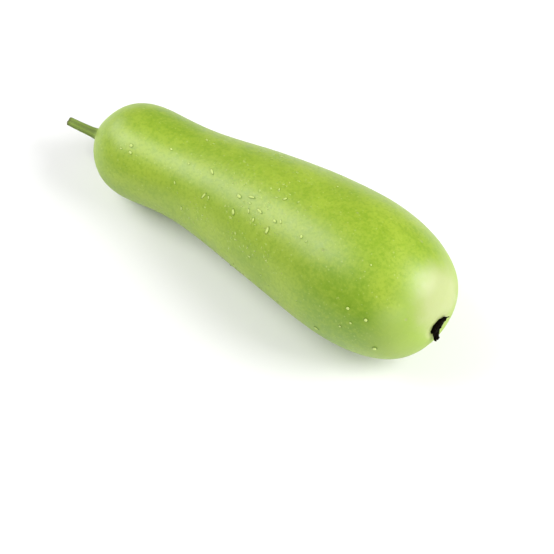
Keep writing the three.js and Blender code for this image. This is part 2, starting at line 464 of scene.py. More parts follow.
class FruitSizes(bpy.types.PropertyGroup):
    length: size("Length", "Length of the fruit along its middle line's X", 290, min=0.1)
    girth: size_row(
        "Girth", "Radii at nine stations from the stem end to the blossom end",
        10.1, 30.3, 34.7, 36.2, 44.0, 49.9, 49.9, 39.5, 16.6,
    )
    side_bow: size("Side Bow", "How far the middle bows sideways", 11.5)
    bow_lean: number("Bow Lean", "Share by which the bow leans to the blossom end", 0.185)
    tip_reach: size("Tip Turn", "How far the blossom end turns sideways", 1.8)
    tip_power: number("Tip Lateness", "How late the blossom end turns", 8, IntProperty, min=2)
    rest_depth: size("Rest Depth", "How deep the skin is pressed flat where it lies", 0.5)
    stem_tip: size_row(
        "Stem End", "Where the stem end's tip lies on the surface, in X and Y",
        -133.7034, -9.3979,
    )
    oval: number("Oval", "Share by which the cross section is oval", 0.008)
    oval_angle: angular("Oval Angle", "Where the cross section is widest", -0.3)
    swelling: number("Swelling", "Share by which three broad swellings stand out", 0.005)
    swelling_angle: angular("Swelling Angle", "Where the first swelling lies", 1.1)
    swelling_winding: angular(
        "Swelling Winding", "How far the swellings wind along the fruit", 2.5
    )
    furrow: number("Furrow", "Share by which five furrows sink in round the stem", 0.03)
    furrow_reach: size("Furrow Reach", "How far the furrows run over the shoulder", 22)
    stem_dimple: size_row("Stem Dimple", "Depth and radius of the dimple round the stem", 1.2, 8)
    flower_dimple: size_row(
        "Flower Dimple", "Depth and radius of the dimple round the flower", 1.6, 9
    )
    lumps: size("Lumps", "Height of the broad, faint lumps of the skin", 0.35)
    ripples: size("Ripples", "Height of the small ripples of the skin", 0.06)


class SkinColours(bpy.types.PropertyGroup):
    body: colour("Body", "Green of most of the skin", (0.265, 0.393, 0.018))
    light: colour("Light", "Paler, yellower green of the clouds in it", (0.330, 0.457, 0.030))
    # Deep is the skin's own deeper green in the mottling and patches, and painted shade on the under
    # side and in part of the patches
    deep: colour("Deep", "Deeper green of patches and of the under side", (0.168, 0.313, 0.003))
    end: colour("Blossom End", "Lighter green of the blossom end", (0.283, 0.413, 0.042))
    # The cream is partly the tip's own colour and partly a painted highlight
    bloom: colour("Cream", "Cream of the tip above the flower", (0.405, 0.455, 0.185))
    fleck: colour("Fleck", "Pale flecks", (0.440, 0.550, 0.140))
    scar: colour("Scar", "Corky skin in small scuffs and round the stem", (0.33, 0.36, 0.13))


class StemSizes(bpy.types.PropertyGroup):
    length: size("Length", "Length of the stub", 27)
    foot: size("Foot Radius", "Radius where it leaves the fruit", 3.5)
    cut: size("Cut Radius", "Radius at its cut end", 3.05)
    flare: size_row("Flare", "How much wider it is on the skin, and how far up", 1.6, 3)
    rib: number("Ribs", "Share by which five ribs stand out", 0.1)
    rise: size("Rise", "How far the cut end curves up", 1.6)
    offset: size_row("Offset", "Place sideways and down from the fruit's tip", -1.25, 0.0)
    hairs: number("Hairs", "Hairs on a square metre of the stem", 0.7e6, min=0)
    hair_length: size("Hair Length", "Length of a hair", 0.6)
    green: colour("Green", "Green of the ribs", (0.203, 0.296, 0.042))
    # The groove green paints shade in the grooves, and also tints darker blotches and the strands of
    # the cut face
    groove: colour("Groove", "Darker green in the grooves", (0.152, 0.218, 0.034))
    cut_face: colour("Cut Face", "Dried flesh of the cut end", (0.40, 0.42, 0.20))
    cut_rim: colour("Cut Rim", "Brown rim of the cut end", (0.085, 0.080, 0.030))


class FlowerSizes(bpy.types.PropertyGroup):
    core: size_row("Core", "Length, width and height of the shrivelled core", 11.5, 7.4, 3.2)
    core_heading: angular("Core Heading", "Which way the core is longest", math.radians(30))
    style: size_row("Style", "Length, radius and lean of the stub of the style", 3.7, 1.1, 0.8)
    offset: size_row("Offset", "Place sideways and up from the fruit's tip", 0.4, 0.3)
    wrinkle: size("Wrinkle", "Height of its wrinkles", 0.3)
    dark: colour("Dark", "Nearly black brown of the dried petals", (0.0024, 0.0016, 0.0006))
    # The edge colour is partly the petals' own brown and partly a painted highlight along their
    # edges
    edge: colour("Edge", "Browner edges and folds", (0.013, 0.008, 0.003))


class DropSizes(bpy.types.PropertyGroup):
    spray: number("Spray", "Most small drops on a square metre of the skin", 45000, min=0)
    smallest: size("Smallest", "Width of the smallest drop of the spray", 1.0)
    largest: size("Largest", "Width of the largest drop of the spray", 2.1)
    seed: number("Seed", "Seed of the spray", 7, IntProperty)
    # Both drop colours are painted light: the bright middle a painted highlight, the dark rim
    # painted shade
    bright: colour("Bright Middle", "Light gathered in a drop", (0.72, 0.86, 0.27))
    rim: colour("Dark Rim", "Darker rim of a drop", (0.10, 0.20, 0.006))


class StageSettings(bpy.types.PropertyGroup):
    floor: colour("Floor", "Colour of the floor", (0.88, 0.88, 0.88))
    sky: number(
        "Sky", "Strength of the even light, at the far side and at the near side",
        (0.26, 0.22), FloatVectorProperty, size=2, min=0,
    )
    key: watts("Key", "Power of the large soft light at the front left", 11.4)
    side: watts("Side", "Power of the low soft light at the left", 7.0)
    fill: watts("Fill", "Power of the low soft light at the right", 6.0)
    back: watts("Back", "Power of the soft light behind the blossom end", 16.0)


class GourdSettings(bpy.types.PropertyGroup):
    fruit: PointerProperty(type=FruitSizes)
    skin: PointerProperty(type=SkinColours)
    stem: PointerProperty(type=StemSizes)
    flower: PointerProperty(type=FlowerSizes)
    drops: PointerProperty(type=DropSizes)
    stage: PointerProperty(type=StageSettings)


# Skin

SKIN_SIDES = 200
SKIN_RINGS = 320
# The largest deeper green patches: middle in mm, reach in mm, and how deep their green is. They are
# partly the skin's own deeper green and partly painted shade, most of all the large one on the front
# flank of the belly
PATCHES = [
    ((102, -50, 68), 50, 0.80), ((128, -44, 70), 26, 0.35), ((-82, 12, 66), 26, 0.45),
    ((-4, 22, 82), 30, 0.25), ((103, -11, 101), 24, 0.35), ((24, -46, 62), 26, 0.30),
    ((128, 18, 92), 24, 0.45),
]


def skin_material(colours, form):
    """Yellow-green skin with clouds and flecks, creamy at the blossom end, with painted shade on its
    under side and in part of its deeper green patches, and a painted highlight on its cream tip.
    """
    bench = MaterialBench("gourd_skin")
    place = bench.object_place()
    height = bench.split(place)[2]
    from_flower = bench.distance(place, form.tip_frame(math.pi, 0, 0).translation)
    from_stem = bench.distance(place, form.tip_frame(0, 0, 0).translation)

    # Clouds 20 to 40 mm wide, drawn out a little along the fruit, and mottling within them
    drawn_out = bench.vector("MULTIPLY", place, (0.6, 1.0, 1.0))
    clouds = bench.noise(drawn_out, 38.0, 3.0, 0.55, 0.3)
    mottle = bench.noise(place, 190.0, 3.0, 0.6)
    grain = bench.noise(place, 480.0, 2.0, 0.6)
    base = bench.mix(bench.ramp(clouds, 0.36, 0.66), colours.body, colours.light)
    # Painted shade: below about 55 mm the skin turns deeper green towards the floor
    underside_shade = bench.ramp(height + (clouds - 0.5) * 0.03, 0.055, 0.012)
    # Deeper green patches, random ones and the listed ones: partly the skin's own green, partly
    # painted shade
    patches = bench.ramp(bench.noise(place, 17.0, 2.0, 0.5), 0.45, 0.75) * 0.3
    for middle, reach, share in PATCHES:
        away = bench.distance(place, Vector(middle) * MM) + (clouds - 0.5) * reach * 0.6 * MM
        patches = patches + bench.ramp(away, reach * MM, reach * 0.45 * MM) * share
    deep = bench.ramp(underside_shade * 0.7 + patches, 0.0, 1.25, smooth=False)
    base = bench.mix(deep, base, colours.deep)
    for marks, low, high, share, tone in (
        (mottle, 0.42, 0.64, 0.30, colours.light), (mottle, 0.52, 0.34, 0.22, colours.deep),
        (grain, 0.54, 0.34, 0.40, colours.deep), (grain, 0.50, 0.68, 0.30, colours.light),
    ):
        base = bench.mix(bench.ramp(marks, low, high) * share, base, tone)

    # Flecks: small pale spots, each in its own cell, and most of them missing
    wobble = bench.scaled(bench.noise(place, 300.0, out="Color"), 0.0008)
    fleck_cells = bench.cells(bench.vector("ADD", place, wobble), 420.0)
    size, chance, _ = bench.split(bench.other(fleck_cells, "Color"))
    fleck = bench.ramp(fleck_cells, 0.12 + size * 0.26, 0.03 + size * 0.08)
    fleck = fleck * bench.ramp(chance, 0.35, 0.75)
    base = bench.mix(fleck * 0.5, base, colours.fleck)

    # The blossom end pales, and its tip turns cream above the flower. The cream tip is partly the
    # skin's own cream and partly a painted highlight of the soft light behind the blossom end
    wander = (clouds - 0.5) * 0.04 + (mottle - 0.5) * 0.012
    pale = bench.ramp(from_flower + wander, 0.058, 0.034)
    base = bench.mix(pale * 0.85, base, colours.end)
    from_tip = bench.distance(place, Vector((150, 3, 76)) * MM)
    cream_and_highlight = bench.ramp(from_tip + wander * 0.4, 0.031, 0.012)
    base = bench.mix(cream_and_highlight * 0.9, base, colours.bloom)
    ring = bench.ramp(from_flower, 0.0115, 0.0085)
    base = bench.mix(ring * 0.5, base, [c * 1.12 for c in colours.bloom])

    # Round the stem the skin is paler and a little corky
    shoulder = bench.ramp(from_stem + wander, 0.042, 0.006) * 0.35
    base = bench.mix(shoulder, base, colours.light)
    cork = bench.ramp(from_stem + (mottle - 0.5) * 0.004, 0.0075, 0.0045) * 0.6
    base = bench.mix(cork, base, colours.scar)

    # A few small scuffs
    scuff_cells = bench.cells(bench.vector("MULTIPLY", place, (0.7, 1.0, 1.0)), 42.0)
    scuff = bench.ramp(scuff_cells + (grain - 0.5) * 0.08, 0.055, 0.02)
    base = bench.mix(scuff * 0.55, base, colours.scar)

    gloss = 0.41 + pale * 0.06 + (mottle - 0.5) * 0.2 + fleck * 0.10 + scuff * 0.2
    relief = bench.bump(mottle * 0.5 + grain * 0.35 + fleck * 0.6 - scuff * 0.8, 0.6, 0.16)
    return bench.finish(
        {"Base Color": base, "Roughness": gloss, "Normal": relief},
        {"Subsurface Weight": 0.18, "Subsurface Radius": (0.6, 1.0, 0.2),
         "Subsurface Scale": 3 * MM, "Specular IOR Level": 0.65, "IOR": 1.5},
    )


def skin_form(values):
    """The tree that sweeps the skin along the middle line and gives it its uneven form."""
    bench = FormBench("gourd_skin_form", values)
    put = bench.input

    line = bench.add("GeometryNodeSetCurveNormal", {"mode": "Z_UP"}, [put("Geometry")])
    line = bench.store(line, "middle", bench.position())
    line = bench.store(line, "heading", bench.add("GeometryNodeInputTangent"))
    sockets = {"Resolution": put("Sides"), "Radius": 1.0}
    profile = bench.add("GeometryNodeCurvePrimitiveCircle", None, sockets)
    girth = bench.add("GeometryNodeInputRadius")
    sockets = {"Curve": line, "Profile Curve": profile, "Scale": girth}
    skin = bench.add("GeometryNodeCurveToMesh", None, sockets)

    middle = bench.stored("middle")
    heading = bench.stored("heading")
    arm = bench.vector("SUBTRACT", bench.position(), middle)
    side = bench.vector("NORMALIZE", bench.vector("CROSS_PRODUCT", (0, 0, 1), heading))
    top = bench.vector("CROSS_PRODUCT", heading, side)
    angle = bench.dot(arm, top).math("ARCTAN2", bench.dot(arm, side))
    radius = bench.length(arm)
    share = (bench.split(middle)[0] - put("Stem End")) / put("Length")
    share = share.math("MAXIMUM", 0.0).math("MINIMUM", 1.0)
    turn = (1 - share * 2).math("ARCCOSINE")

    oval = put("Oval") * ((angle - put("Oval Angle")) * 2).math("COSINE") * turn.math("SINE")
    around = angle * 3 - put("Swelling Angle") + put("Swelling Winding") * share
    swelling = put("Swelling") * around.math("COSINE") * (turn * 2).math("SINE")
    fade = (-(share * put("Length")) / put("Furrow Reach")).math("EXPONENT")
    furrow = put("Furrow") * fade * (1 + (angle * 5).math("COSINE")) / 2
    uneven = 1 + oval + swelling - furrow

    at_stem = share.math("LESS_THAN", 0.5)
    stem_fade = (-((radius / put("Stem Dimple Radius")) ** 2)).math("EXPONENT")
    flower_fade = (-((radius / put("Flower Dimple Radius")) ** 2)).math("EXPONENT")
    dimple = put("Stem Dimple Depth") * stem_fade * at_stem
    dimple = dimple - put("Flower Dimple Depth") * flower_fade * (1 - at_stem)
    reached = bench.vector("ADD", middle, bench.scaled(arm, uneven))
    reached = bench.vector("ADD", reached, bench.scaled(heading, dimple))
    skin = bench.move(skin, position=reached)
    skin = bench.add("GeometryNodeMergeByDistance", None, {"Geometry": skin, "Distance": 2e-6})

    lump = bench.noise(bench.position(), 22.0, 1.0, 0.4) - 0.5
    ripple = bench.noise(bench.position(), 130.0, 2.0, 0.5) - 0.5
    relief = lump * put("Lumps") * 2 + ripple * put("Ripples") * 2
    skin = bench.move(skin, offset=bench.scaled(bench.normal(), relief))
    x, y, z = bench.split(bench.position())
    skin = bench.move(skin, position=bench.join(x, y, z.math("MAXIMUM", 0.0)))
    bench.close(skin, put("Material"))
    return bench


def middle_line(form, rings):
    """The fruit's middle line as a curve, with the plain girth as its radius."""
    curve = bpy.data.curves.new("gourd_middle_line", "CURVE")
    curve.dimensions = "3D"
    line = curve.splines.new("POLY")
    line.points.add(rings - 1)
    for i, point in enumerate(line.points):
        turn = math.pi * i / (rings - 1)
        point.co = (*form.middle(turn), 1.0)
        point.radius = max(form.radius(turn), 0.0)
    return curve


class GOURD_OT_skin(bpy.types.Operator):
    """Makes the skin of the fruit"""

    bl_idname = "gourd.make_skin"
    bl_label = "Skin"

    def execute(self, context):
        settings = context.scene.gourd
        sizes = settings.fruit
        form = Form(sizes)
        values = {
            "Sides": SKIN_SIDES, "Length": sizes.length, "Stem End": sizes.stem_tip[0],
            "Oval": sizes.oval, "Oval Angle": sizes.oval_angle, "Swelling": sizes.swelling,
            "Swelling Angle": sizes.swelling_angle, "Swelling Winding": sizes.swelling_winding,
            "Furrow": sizes.furrow, "Furrow Reach": sizes.furrow_reach,
            "Stem Dimple Depth": sizes.stem_dimple[0], "Stem Dimple Radius": sizes.stem_dimple[1],
            "Flower Dimple Depth": sizes.flower_dimple[0],
            "Flower Dimple Radius": sizes.flower_dimple[1],
            "Lumps": sizes.lumps, "Ripples": sizes.ripples,
            "Material": skin_material(settings.skin, form),
        }
        skin = grow("gourd_skin", middle_line(form, SKIN_RINGS), skin_form(values))
        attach(skin, BODY)
        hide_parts("fruit")
        return {"FINISHED"}


# Stem

def stem_material(sizes):
    """Ribbed green stem, with painted shade in its grooves, and a dried cut end."""
    bench = MaterialBench("gourd_stem")
    place = bench.object_place()
    rib = bench.attribute("rib")
    up = bench.attribute("up")
    inwards = bench.attribute("inwards")
    # Fibres run along the stem, which lies along X
    fibres = bench.noise(bench.vector("MULTIPLY", place, (0.12, 1.0, 1.0)), 2400.0, 3.0, 0.65)
    blotches = bench.noise(place, 330.0, 2.0, 0.5)
    # Painted shade: the grooves between the ribs are drawn in darker green
    green = bench.mix(bench.ramp(rib + (fibres - 0.5) * 0.5, -0.7, 0.75),
                      sizes.groove, sizes.green)
    green = bench.mix(bench.ramp(blotches, 0.45, 0.7) * 0.4, green, sizes.groove)
    pale = [1.35 * c + 0.02 for c in sizes.green]
    green = bench.mix(bench.ramp(fibres, 0.56, 0.72) * 0.5, green, pale)
    green = bench.mix(bench.ramp(up, 0.004, 0.0) * 0.55, green, (0.36, 0.50, 0.11))
    dried = bench.ramp(up + (fibres - 0.5) * 0.003, sizes.length - 0.0026, sizes.length) * 0.75
    green = bench.mix(dried, green, sizes.cut_rim)
    flesh = bench.mix(bench.ramp(bench.noise(place, 900.0, 2.0), 0.4, 0.7),
                      sizes.cut_face, [c * 0.6 for c in sizes.cut_face])
    flesh = bench.mix(bench.ramp(inwards, 0.35, 0.08), flesh, sizes.cut_rim)
    flesh = bench.mix(bench.attribute("strand") * 0.8, flesh, sizes.groove)
    base = bench.mix(bench.ramp(inwards, 0.0, 0.02), green, flesh)
    relief = bench.bump(fibres * 0.7 + blotches * 0.3, 0.6, 0.15)
    rough = 0.5 + (fibres - 0.5) * 0.3 + dried * 0.25
    linked = {"Base Color": base, "Roughness": rough, "Normal": relief}
    return bench.finish(linked, {"Specular IOR Level": 0.25})


class GOURD_OT_stem(bpy.types.Operator):
    """Makes the stub of the stem with its ribs and its cut end"""

    bl_idname = "gourd.make_stem"
    bl_label = "Stem"

    def execute(self, context):
        settings = context.scene.gourd
        s = settings.stem
        root = 3 * MM
        sides = 120
        line = (
            Vector((0, 0, -root)), Vector((0, 0, s.length / 2)), Vector((0, -s.rise, s.length)),
        )
        rings, rows = [], {"rib": [], "up": [], "inwards": [], "strand": []}

        def add_ring(share, shrink, sink, inwards):
            centre, tangent = bezier(line, share)
            side, top = ring_frame(tangent)
            height = max(share * (s.length + root) - root, 0)
            plain = s.foot + (s.cut - s.foot) * height / s.length
            plain += s.flare[0] * math.exp(-height / s.flare[1])
            ring = []
            for angle in ring_angles(sides):
                wave = math.cos(5 * angle)
                crease = -abs(math.sin(2.5 * angle)) ** 6 * 0.35
                ribbed = 1 + s.rib * (wave + crease)
                spot = Vector((math.cos(angle) * 3, math.sin(angle) * 3, height * 90))
                fine = Vector((math.cos(angle) * 9, math.sin(angle) * 9, height * 160))
                ribbed += 0.035 * noise.noise(spot) + 0.022 * noise.noise(fine)
                radius = plain * ribbed * shrink
                slant = share**4 * 0.14 * radius * math.sin(angle)
                rough = 0.12 * MM * noise.noise(fine * 1.7) if inwards else 0
                ring.append(
                    centre + side * radius * math.cos(angle) + top * radius * math.sin(angle)
                    + tangent * (slant - sink + rough)
                )
                strand = max(math.cos(10 * angle), 0) ** 3 if 0.35 < inwards < 0.5 else 0
                for name, value in zip(rows, (wave, height, inwards, strand)):
                    rows[name].append(value)
            rings.append(ring)

        steps = 110
        for step in range(steps):
            add_ring(step / (steps - 1), 1, 0, 0)
        # The cut face: a rolled rim, then a hollow pith
        for shrink, sink, inwards in (
            (0.975, -0.12, 0.03), (0.92, -0.2, 0.1), (0.84, -0.16, 0.2), (0.74, 0.02, 0.3),
            (0.66, 0.1, 0.38), (0.58, 0.12, 0.46), (0.48, 0.2, 0.55), (0.36, 0.45, 0.7),
            (0.2, 0.58, 0.85),
        ):
            add_ring(1, shrink, sink * MM, inwards)
        first, _ = bezier(line, 0)
        end, tangent = bezier(line, 1)
        for name, values in zip(rows, ((0, 0), (0, s.length), (0, 1), (0, 0))):
            rows[name] += values
        sheet = Sheet()
        sheet.loft(rings, first, end - tangent * 0.6 * MM, rows)
        stand = Form(settings.fruit).tip_frame(0, *s.offset)
        stem = sheet.build("stem_stub", stand, stem_material(s))
        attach(stem, BODY)
        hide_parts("stem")
        return {"FINISHED"}


def hair_form(values):
    """The tree that sets short bristly hairs on the stem."""
    bench = FormBench("stem_hair_form", values)
    put = bench.input
    outwards = bench.dot(bench.vector("SUBTRACT", bench.position(), put("Foot")), put("Heading"))
    on_bark = outwards.math("GREATER_THAN", put("Keep Clear"))
    on_bark = on_bark * outwards.math("LESS_THAN", put("Reach"))
    sockets = {
        "Mesh": put("Geometry"), "Selection": on_bark, "Density": put("Density"),
        "Seed": put("Seed"),
    }
    scattered = bench.add(
        "GeometryNodeDistributePointsOnFaces", {"distribute_method": "RANDOM"}, sockets
    )
    shake = bench.add(
        "FunctionNodeRandomValue", {"data_type": "FLOAT_VECTOR"},
        {0: (-0.7, -0.7, -0.7), 1: (0.7, 0.7, 0.7), "Seed": 3},
    )
    leaning = bench.vector("ADD", bench.other(scattered, "Normal"), shake)
    turned = bench.add("FunctionNodeAlignRotationToVector", {"axis": "Z"}, {"Vector": leaning})
    hair = bench.add(
        "GeometryNodeMeshCone", {"fill_type": "NONE"},
        {"Vertices": 4, "Side Segments": 2, "Radius Top": 0.01, "Radius Bottom": 0.035,
         "Depth": 1.0},
    )
    size = bench.add(
        "FunctionNodeRandomValue", {"data_type": "FLOAT"}, {2: 0.45, 3: 1.0, "Seed": 5}, out=1
    )
    size = size * put("Hair Length")
    sockets = {
        "Points": scattered, "Instance": hair, "Rotation": turned,
        "Scale": bench.join(size, size, size),
    }
    hairs = bench.add("GeometryNodeInstanceOnPoints", None, sockets)
    bench.close(hairs, put("Material"))
    return bench


def hair_material():
    """Fine, pale, half-clear hairs."""
    bench = MaterialBench("stem_hair")
    tint = bench.ramp(bench.noise(bench.object_place(), 800.0, 1.0), 0.35, 0.65)
    base = bench.mix(tint, (0.27, 0.35, 0.11), (0.42, 0.49, 0.22))
    return bench.finish({"Base Color": base}, {"Roughness": 0.45, "Sheen Weight": 0.2})


class GOURD_OT_stem_hairs(bpy.types.Operator):
    """Sets short hairs on the stem"""

    bl_idname = "gourd.make_stem_hairs"
    bl_label = "Stem Hairs"

    def execute(self, context):
        settings = context.scene.gourd
        stem = bpy.data.objects.get("stem_stub")
        if stem is None:
            raise RuntimeError("the stem has to be made before its hairs")
        stand = Form(settings.fruit).tip_frame(0, *settings.stem.offset)
        values = {
            "Density": settings.stem.hairs, "Hair Length": settings.stem.hair_length,
            "Foot": tuple(stand.translation), "Heading": tuple(stand.to_3x3().col[2]),
            "Keep Clear": 1.5 * MM, "Reach": settings.stem.length - 1 * MM,
            "Seed": 11, "Material": hair_material(),
        }
        hairs = grow("stem_hairs", stem.data.copy(), hair_form(values))
        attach(hairs, BODY)
        return {"FINISHED"}


# Dried flower

# Heading in degrees, reach, width, share of the width left at the tip, share of the reach where
# it narrows, lift of the tip, thickness at the root and at the tip, bulge of the tip
LOBES = (
    (20, 9.6, 5.2, 0.15, 0.73, 1.9, 1.7, 0.75, 0.25),
    (66, 5.8, 4.4, 0.40, 0.80, 1.2, 1.3, 0.55, 0.25),
    (138, 5.2, 4.2, 0.50, 0.80, 1.6, 1.3, 0.55, 0.25),
    (224, 6.3, 4.8, 0.45, 0.85, 0.9, 1.4, 0.60, 0.25),
    (257, 11.6, 4.2, 1.00, 0.80, 1.7, 2.3, 2.10, -0.60),
)
CORE_LEVELS = ((-0.9, 1.0), (0.2, 1.0), (0.4, 1.0), (0.6, 0.95), (0.75, 0.88), (0.88, 0.78),
               (0.97, 0.64), (1.0, 0.5), (0.97, 0.36), (0.9, 0.2))  # shares of height and width


def flower_material(sizes):
    """Dried petals, black brown, with browner edges and fine veins. The browner edges are partly
    their own colour and partly a painted highlight.
    """
    bench = MaterialBench("dried_petals")
    place = bench.object_place()
    crumple = bench.noise(place, 520.0, 4.0, 0.6, 0.6)
    veins = bench.noise(bench.vector("MULTIPLY", place, (1.0, 0.35, 0.35)), 2600.0, 3.0, 0.6)
    edge = bench.attribute("edge")
    base = bench.mix(bench.ramp(crumple, 0.45, 0.75) * 0.6, sizes.dark, sizes.edge)
    # Browner edges: partly the petals' own colour, partly a painted highlight along them
    browned_and_highlit_edge = bench.ramp(edge + (crumple - 0.5) * 0.5, 0.6, 1.0) * 0.5
    base = bench.mix(browned_and_highlit_edge, base, sizes.edge)
    relief = bench.bump(crumple * 0.7 + veins * 0.3, 0.8, 0.3)
    rough = 0.62 + (crumple - 0.5) * 0.5
    linked = {"Base Color": base, "Roughness": rough, "Normal": relief}
    return bench.finish(linked, {"Specular IOR Level": 0.02})


# Where the wrinkles' push is read for X, Y and Z: three places with nothing in common
WRINKLE_PLACES = (Vector((9.3, -1.5, -8.0)), Vector((0, 0, 0)), Vector((6.3, 0.2, -2.7)))


def wrinkle(spot):
    """A push in any direction that is the same at the same spot in every run."""
    return Vector([noise.noise(spot + place) for place in WRINKLE_PLACES])


def crumpled(point, height, seed):
    """Moves a point by two sizes of wrinkles."""
    spot = point / MM
    broad = wrinkle(spot * 0.45 + Vector((seed, 0, 0)))
    fine = wrinkle(spot * 1.3 + Vector((0, seed, 0)))
    return point + (broad + fine * 0.45) * height


def catmull(points, share):
    """A point of the smooth curve through some points, and its tangent."""
    count = len(points) - 1
    place = min(int(share * count), count - 1)
    local = share * count - place
    row = [points[0] * 2 - points[1], *points, points[-1] * 2 - points[-2]]
    a, b, c, d = row[place:place + 4]
    square, cube = local * local, local**3
    at = 0.5 * ((2 * b) + (c - a) * local + (2 * a - 5 * b + 4 * c - d) * square
                + (3 * b - a - 3 * c + d) * cube)
    run = 0.5 * ((c - a) + 2 * (2 * a - 5 * b + 4 * c - d) * local
                 + 3 * (3 * b - a - 3 * c + d) * square)
    return at, run.normalized()


class GOURD_OT_dried_flower(bpy.types.Operator):
    """Makes the dried flower: its crumpled core, its lobes and the stub of its style"""

    bl_idname = "gourd.make_dried_flower"
    bl_label = "Dried Flower"

    def add_core(self, sheet, s):
        sides = 96
        length, width, height = s.core
        rings, edges = [], []
        for level, (up, wide) in enumerate(CORE_LEVELS):
            ring = []
            for angle in ring_angles(sides):
                turned = angle - s.core_heading
                oval = math.hypot(math.cos(turned) / length, math.sin(turned) / width)
                lump = 1 + 0.08 * math.cos(5 * (angle + 0.16))
                pleat = 1 + 0.05 * math.sin(17 * angle + 2 * level) * min(1, up + 0.9)
                radius = wide * lump * pleat / (2 * oval)
                point = Vector((radius * math.cos(angle), radius * math.sin(angle), up * height))
                ring.append(crumpled(point, s.wrinkle, 3.7))
                edges.append(0.35 + 0.4 * math.sin(17 * angle + 2 * level))
            rings.append(ring)
        sheet.loft(rings, Vector((0, 0, -height)), Vector((0, 0, 0.8 * height)),
                   {"edge": edges + [0, 0]})

    def add_style(self, sheet, s):
        sides, steps = 40, 30
        length, thick, lean = s.style
        line = (Vector((0, 0, 0.2 * length)), Vector((0.1 * lean, 0, 0.6 * length)),
                Vector((lean, -0.4 * lean, length)))
        rings = []
        for step in range(steps):
            share = step / (steps - 1)
            centre, tangent = bezier(line, share)
            side, top = ring_frame(tangent)
            knob = 0.35 * math.exp(-(((share - 0.93) / 0.08) ** 2))
            ring = []
            for angle in ring_angles(sides):
                ridge = 1 + 0.16 * math.cos(3 * angle + 4 * share)
                radius = thick * (1 - 0.45 * share + knob) * ridge
                point = centre + side * radius * math.cos(angle) + top * radius * math.sin(angle)
                ring.append(crumpled(point, s.wrinkle * 0.5, 9.1))
            rings.append(ring)
        end, tangent = bezier(line, 1)
        sheet.loft(rings, bezier(line, 0)[0], end + tangent * 0.2 * MM,
                   {"edge": [0.4] * (sides * steps + 2)})

    def add_lobe(self, sheet, s, number, lobe):
        heading, reach, width, tip, narrows, lift, thick_root, thick_tip, bulge = lobe
        angle = math.radians(heading)
        sag = 0.5 * s.core[2]
        outwards = Vector((math.cos(angle), math.sin(angle), 0))
        line = [
            outwards * (share * reach * MM) + UP * (sag + rise * lift * MM)
            for share, rise in ((0.2, 0), (0.55, 0), (0.8, 0.3), (1.0, 1.0))
        ]
        sides, steps = 44, 40
        rings, edges = [], []
        for step in range(steps):
            share = step / (steps - 1)
            centre, tangent = catmull(line, share)
            side, top = ring_frame(tangent)
            ragged = 1 + 0.16 * noise.noise(Vector((share * 7, number * 5, 0)))
            fallen = min(max((share - narrows) / 0.24 + 0.5, 0), 1)
            taper = (1 - (1 - tip) * fallen**2 * (3 - 2 * fallen)) * ragged
            thick = (thick_root + (thick_tip - thick_root) * share) * MM
            ring = []
            for turn in ring_angles(sides):
                across = width / 2 * taper * math.cos(turn)
                pleat = 0.45 * math.sin(3.2 * across + 7 * share) * taper
                point = (
                    centre + side * across * MM
                    + top * (thick / 2 * math.sin(turn) + pleat * MM)
                )
                ring.append(crumpled(point, s.wrinkle * (0.5 + share), 1.3 * number))
                edges.append(max(abs(math.cos(turn)) ** 3, share**4))
            rings.append(ring)
        start, end = catmull(line, 0)[0], catmull(line, 1)
        sheet.loft(rings, start, end[0] + end[1] * bulge * MM, {"edge": edges + [0, 1]})

    def execute(self, context):
        settings = context.scene.gourd
        s = settings.flower
        sheet = Sheet()
        self.add_core(sheet, s)
        self.add_style(sheet, s)
        for number, lobe in enumerate(LOBES):
            self.add_lobe(sheet, s, number, lobe)
        stand = Form(settings.fruit).tip_frame(math.pi, *s.offset)
        flower = sheet.build("shrivelled_flower", stand, flower_material(s))
        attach(flower, BODY)
        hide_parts("dried_flower")
        return {"FINISHED"}


# Drops of water

# Place in mm, length and width in mm, and the drop's turn from the fruit's length in degrees
DROPS = (
    (8.8, -14.6, 85, 6.6, 2, 13),
    (19.7, -20.1, 85, 6.2, 2.2, 169),
    (2.6, -26.7, 76, 5.1, 2.8, 123),
    (12.5, -22.8, 81.6, 4, 1.5, 126),
    (19, -26, 80.9, 3.7, 1.8, 105),
    (32.1, -27.9, 82.8, 6.1, 2.7, 96),
    (-28.3, -10.5, 77.1, 6.1, 2.2, 150),
    (-24.1, -25.4, 69.6, 6.4, 1.8, 72),
    (-20, -25.2, 70.9, 3.1, 1.4, 133),
    (30.3, -6.1, 92.3, 3.7, 2, 48),
    (0.4, -17.4, 81.7, 4.8, 2.8, 172),
    (33.4, -21.6, 87.5, 3.6, 2.4, 166),
    (37.5, -20.4, 89.1, 3.4, 1.6, 127),
    (22.2, -1.9, 91, 2.6, 1.4, 108),
    (56.3, -23, 92.1, 3.1, 2.4, 102),
    (-47.1, -12.4, 72.2, 2.4, 1.6, 136),
    (-37.5, -34, 52.2, 3.9, 1.6, 96),
    (10, -18.5, 83.5, 2.9, 1.5, 16),
    (-91.5, -21.2, 65.5, 3.5, 2.8, 15),
    (-89.3, -24.9, 63.3, 3.5, 2.4, 165),
    (-49.3, -25.8, 63.2, 2.8, 1.5, 127),
    (-65.1, -9.5, 70.5, 2.8, 2, 1),
    (-97.2, -25.8, 62.3, 2.5, 1.5, 180),
    (108.3, -42.3, 80.6, 2.9, 2.8, 16),
    (121.9, -41.1, 78.1, 3.2, 3.1, 13),
    (113.6, -46.1, 72.3, 2.2, 2.2, 157),
    (132.2, -44.2, 56.3, 3.8, 3.8, 165),
    (90.9, -51.5, 48.7, 4.5, 2.6, 169),
    (107.2, -16.8, 99.3, 1.6, 1.5, 169),
    (107.6, -49.2, 65.9, 2.2, 2.2, 168),
)


